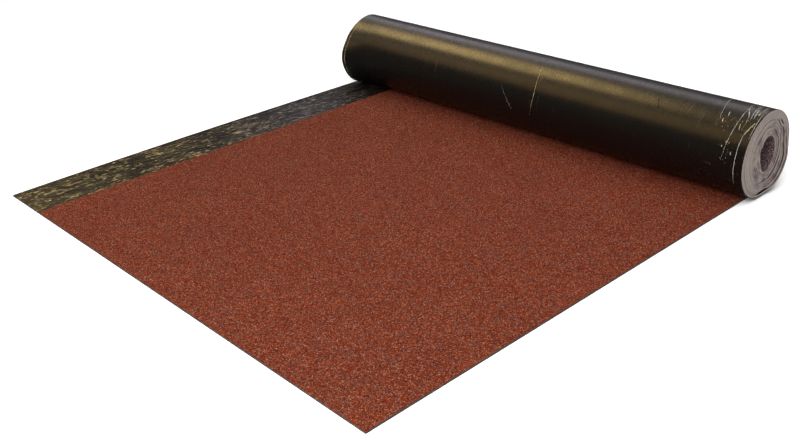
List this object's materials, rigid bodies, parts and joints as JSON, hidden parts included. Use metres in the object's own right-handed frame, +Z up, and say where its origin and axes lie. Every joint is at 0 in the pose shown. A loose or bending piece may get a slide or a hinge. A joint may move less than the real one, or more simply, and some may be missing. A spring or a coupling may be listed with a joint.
{
  "type": "roll of roofing felt",
  "caption": "Part-unrolled roll of granule-faced bitumen roofing felt: a flat run with a bare lap along one edge, leading to a wound roll with an open bore.",
  "frame": {"origin": "on the floor, under the middle of the whole object's box", "axes": "+X along the roll's axis, towards the end that stands past the flat run; +Y towards the roll, so the flat run ends at -Y; +Z up"},
  "size_m": [1.0182, 0.9578, 0.1558],
  "materials": {
    "film_underside": "smooth black bitumen under a thin burn-off film, with a soft sheen",
    "granule_face": "rough red-brown mineral granules with darker and greyer ones among them",
    "lap_strip": "bare bitumen lap under a crinkled glossy film",
    "cut_edge": "matt, dusty cut edges of the turns"
  },
  "bodies": {
    "root": {"felt_roll": "film_underside"}
  },
  "joints": []
}
